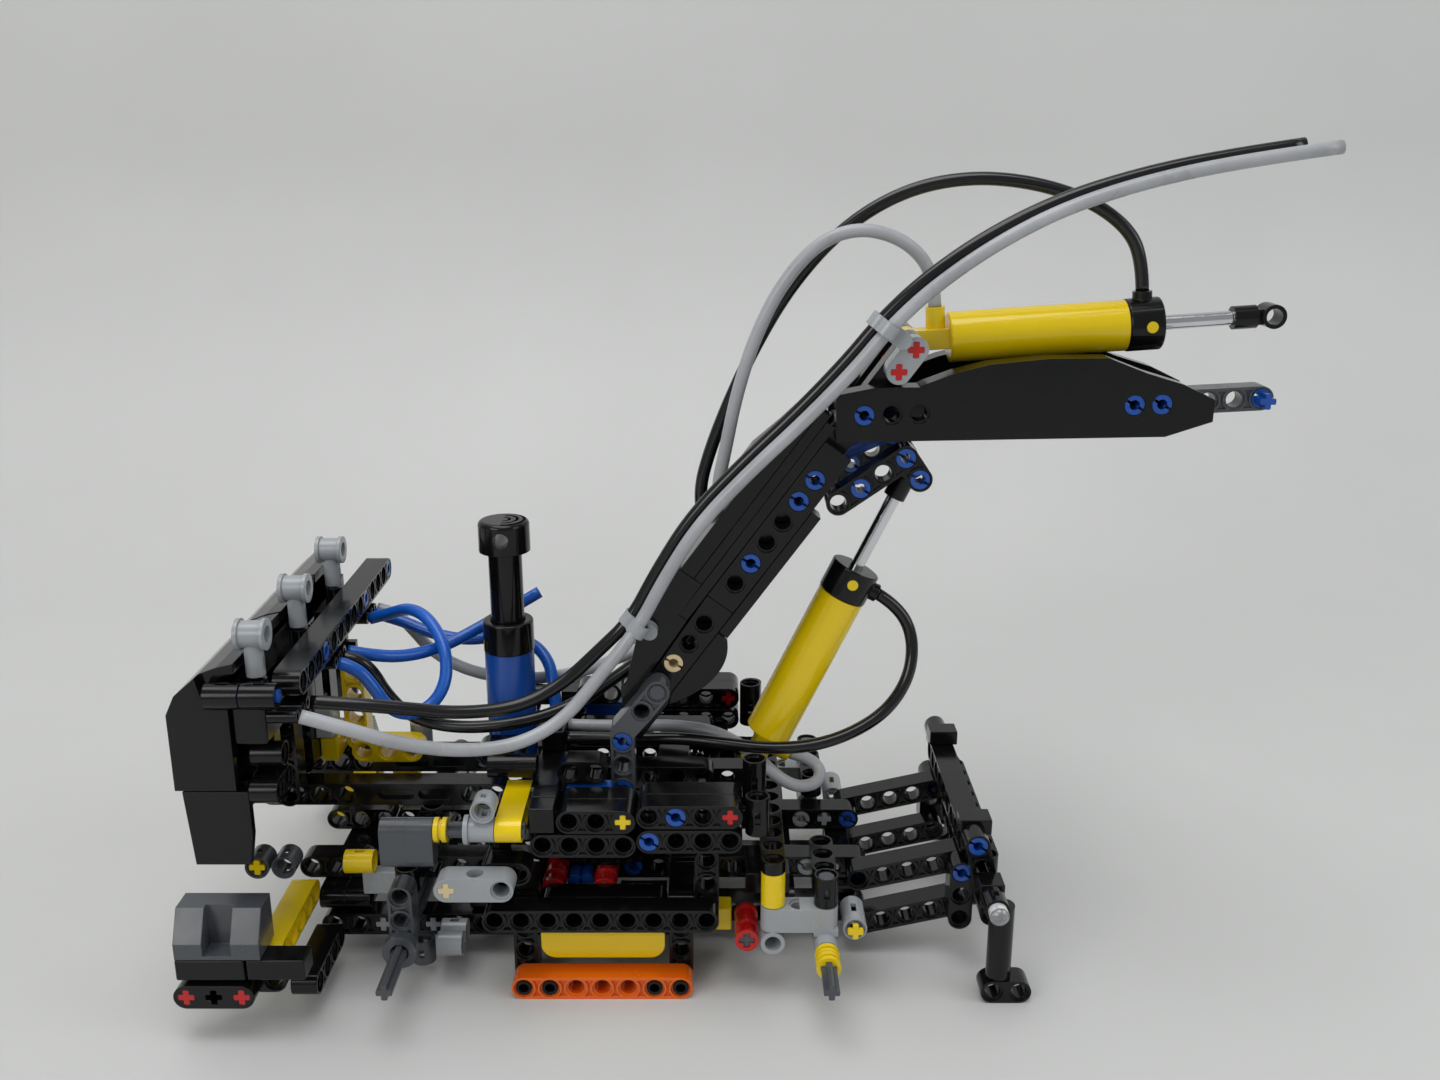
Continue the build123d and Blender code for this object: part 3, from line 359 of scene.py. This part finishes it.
PORT_X = -117.0
PORT_Z = 101.4
grey_line = [(PORT_X, -61.5, PORT_Z), (-107, -60.6, 98), (-92, -56, 90.5), (-76, -50, 85.2)]
grey_line += [(-60, -44.5, 84.4), (-47, -38.5, 89.5), (-37.5, -32, 99.5)]
grey_line += along_boom([(-67, -26.2, 16.5), (-50, -26.6, 19.3), (-30, -27, 21), (-8, -26.8, 18.4)])
grey_line += along_boom([(14, -26.3, 14.4), (34, -25.8, 11.8), (48, -25.6, 11.2), (64, -25, 8.4)])
grey_line += along_boom([(84, -23.6, 1.6), (104, -21.6, -8.6), (124, -19, -23.6)])
grey_line += along_boom([(145, -16.5, -43), (163, -14, -62)])
black_line = [(PORT_X, -51.5, PORT_Z), (-107, -50.8, 100.6), (-93, -46.5, 97.4), (-77, -41.5, 93.4)]
black_line += [(-60, -36, 93), (-47, -31, 98.6), (-36.5, -26.2, 107.5)]
black_line += along_boom([(-67, -22.8, 19.3), (-50, -22.7, 22), (-30, -22.6, 23.6), (-8, -22.5, 20.9)])
black_line += along_boom([(14, -22.4, 17), (34, -22.3, 14.6), (48, -22.4, 14), (64, -21.6, 11.3)])
black_line += along_boom([(84, -19.4, 4.4), (104, -17, -6), (124, -14.6, -21)])
black_line += along_boom([(143, -12.4, -38.5), (158, -11, -54)])
cap_line = [(126.2, 0, 212.2), (125.4, 0, 220.6), (121, 0, 230), (109, 1.2, 238.4), (92, 3, 243.6)]
cap_line += [(73, 4, 245), (54, 4.2, 241), (36, 4, 230), (21, 3.6, 213), (10, 3.4, 194), (1.5, 3.6, 175)]
cap_line += along_boom([(-17, 4, 27), (-27, 4, 23), (-34.6, 4, 16.6), (-36.6, 4, 8.8)])
base_line = [(64.4, 0, 207.6), (63.8, 0, 214.6), (60, -1, 222.4), (51.4, -2.6, 228.6), (39.4, -4, 230.8)]
base_line += [(27.6, -5, 226), (17, -5.2, 213), (9.6, -5, 197), (4.6, -5, 180)]
base_line += along_boom([(-12, -5, 24.4), (-21, -5, 20.4), (-27.4, -5, 15), (-29.6, -5, 8.8)])
lift_cap = [(50.2, 0, 116.5), (57, 0, 112.2), (62, -1.4, 102.6), (61, -5, 90.6), (54, -9.6, 80.8)]
lift_cap += [(43, -13.4, 74.6), (30, -16, 71), (16, -15.6, 69.8), (2, -13, 70.4), (-12, -10, 70.9)]
lift_cap += [(-27, -8, 69.8), (-40, -6.4, 69.2), (-50.1, -6, 69.2)]
lift_base = [(23.1, 0, 61.0), (28.8, 0, 59.4), (33.4, -1.8, 56), (32, -7, 53.4), (25, -12, 54.4)]
lift_base += [(18.4, -14.6, 59.4), (11, -11.6, 66.2), (0, -3.6, 70), (-13, 0.4, 70.6), (-27, 3, 69.4)]
lift_base += [(-40, 3.6, 69), (-50.1, 4, 69.2)]
blue_line = [(PORT_X, -11.5, PORT_Z), (-110, -10.4, 99.6), (-101, -4.8, 96.8), (-90.4, 2.4, 97.2)]
blue_line += [(-79.6, 10.2, 101), (-69.4, 15.4, 106), (-60, 18, 111)]
loop_line = [(PORT_X, 18.5, PORT_Z), (-110, 17.6, 103.6), (-102, 12, 107.6), (-94, 4, 106.6)]
loop_line += [(-87.6, -4.2, 99.6), (-86.6, -10.6, 90.4), (-91, -15.4, 84), (-98, -18.6, 82.6)]
loop_line += [(-103.6, -20.6, 86.4), (-107, -21.3, 93.4), (-111.6, -21.5, 99.8), (PORT_X, -21.5, PORT_Z)]
arch_line = [(PORT_X, 23.5, PORT_Z), (-109, 23, 99.6), (-98, 20.4, 95.6), (-86, 17.6, 94)]
arch_line += [(-74, 16.8, 95.6), (-63, 15.4, 94.4), (-56.8, 10.6, 89.6), (-54.6, 5.4, 82), (-54, 3.6, 73)]
near_line = along_boom([(-62.2, -5, 2.6), (-71, -5, 3.4), (-80, -5.2, 5.6)])
near_line += [(-33.6, -6.4, 90.4), (-43.6, -9.4, 84), (-55.6, -13.4, 80), (-68, -14.6, 77.6)]
near_line += [(-80, -13.6, 76.2), (-91, -12, 76.6), (-100, -12, 80.4), (-105.6, -13, 88)]
near_line += [(-108.4, -15, 95.8), (-112.4, -16.4, 100.6), (PORT_X, -16.5, PORT_Z)]
far_line = along_boom([(-62.2, 4, 2.6), (-71, 4, 3.4), (-80, 4.4, 5.6)])
far_line += [(-34.6, 6.6, 91.4), (-45.6, 10.6, 85.6), (-58.6, 14.6, 81.6), (-73, 17, 80.4), (-87, 19, 83)]
far_line += [(-98, 22.4, 88), (-105.4, 26, 95.4), (-111.4, 28.2, 100.4), (PORT_X, 28.5, PORT_Z)]


def finish_hose(name, route, material, node, body=None):
    line = path_points(route)
    obj = tube_mesh(name, [line])
    obj.data.materials.append(MATS[material])
    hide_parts(node)
    if body:
        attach(obj, body)
    else:
        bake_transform(obj)
    return obj


finish_hose("long_hose_grey", grey_line, "hose_grey", "hose_long_grey")
finish_hose("long_hose_black", black_line, "hose_black", "hose_long_black")
finish_hose("blue_hose_free", blue_line, "hose_blue", "hose_free_blue", body="deck")
finish_hose("stick_hose_cap", cap_line, "hose_black", "hoses_stick")
finish_hose("stick_hose_base", base_line, "hose_grey", "hoses_stick")
finish_hose("lift_hose_cap", lift_cap, "hose_black", "hoses_lift")
finish_hose("lift_hose_base", lift_base, "hose_grey", "hoses_lift")
finish_hose("deck_hose_loop", loop_line, "hose_blue", "hoses_deck", body="deck")
finish_hose("deck_hose_arch", arch_line, "hose_blue", "hoses_deck", body="deck")
finish_hose("deck_hose_near", near_line, "hose_black", "hoses_deck")
finish_hose("deck_hose_far", far_line, "hose_grey", "hoses_deck")


# ------------------------------------------------------------------ stage
def stage_mesh(name, verts, faces, material):
    mesh = bpy.data.meshes.new(name)
    mesh.from_pydata(verts, [], faces)
    mesh.materials.append(material)
    for poly in mesh.polygons:
        poly.use_smooth = True
    obj = bpy.data.objects.new(name, mesh)
    bpy.context.scene.collection.objects.link(obj)
    return obj


def backdrop_material():
    mat, tree, shader = new_material("pale_surface")
    big = noise(tree, 3, 4, 0.6)
    fine = noise(tree, 250, 4, 0.6)
    factor = remap(tree, big.outputs["Fac"], 0, 1)
    shade = tone(tree, factor, (0.58, 0.585, 0.575), (0.62, 0.625, 0.615))
    tree.links.new(shade, shader.inputs["Base Color"])
    shader.inputs["Roughness"].default_value = 0.55
    surface(tree, shader, fine.outputs["Fac"], 0.04, 0.0004, 0)
    return mat


# A level floor swept up into a wall behind the part, in metres.
FLOOR_FRONT = -1.6
SWEEP_START = 0.3
SWEEP_RADIUS = 0.25
SWEEP_STEPS = 12
WALL_TOP = 2.4
HALF_WIDTH = 2.4

profile = [(FLOOR_FRONT, 0.0), (SWEEP_START, 0.0)]
for i in range(1, SWEEP_STEPS + 1):
    turn = math.radians(90 * i / SWEEP_STEPS)
    y = SWEEP_START + SWEEP_RADIUS * math.sin(turn)
    profile.append((y, SWEEP_RADIUS - SWEEP_RADIUS * math.cos(turn)))
profile.append((SWEEP_START + SWEEP_RADIUS, WALL_TOP))
verts, faces = [], []
for y, z in profile:
    verts += [(-HALF_WIDTH, y, z), (HALF_WIDTH, y, z)]
for i in range(len(profile) - 1):
    faces.append((2 * i, 2 * i + 1, 2 * i + 3, 2 * i + 2))
stage_mesh("backdrop", verts, faces, backdrop_material())


def area(name, location, target, size, power, color=(1, 1, 1)):
    data = bpy.data.lights.new(name, "AREA")
    data.shape = "RECTANGLE"
    data.size, data.size_y = size
    data.energy = power
    data.color = color
    light = bpy.data.objects.new(name, data)
    bpy.context.scene.collection.objects.link(light)
    light.location = location
    aim = Vector(target) - Vector(location)
    light.rotation_euler = aim.to_track_quat("-Z", "Y").to_euler()
    return light


area("ceiling", (-0.2, -0.2, 1.7), (0, 0, 0), (1.6, 1.0), 16)
area("front_left", (-1.1, -1.4, 0.9), (0, 0, 0.1), (1.0, 0.8), 9, (1.0, 0.99, 0.97))
area("right_side", (1.3, -0.5, 0.8), (0, 0, 0.1), (0.8, 0.8), 4.5, (0.97, 0.98, 1.0))

ROOM_COLOR = (0.86, 0.88, 0.9, 1)
ROOM_STRENGTH = 0.34

world = bpy.data.worlds.new("room")
bpy.context.scene.world = world
world.use_nodes = True
background = world.node_tree.nodes["Background"]
background.inputs[0].default_value = ROOM_COLOR
background.inputs[1].default_value = ROOM_STRENGTH
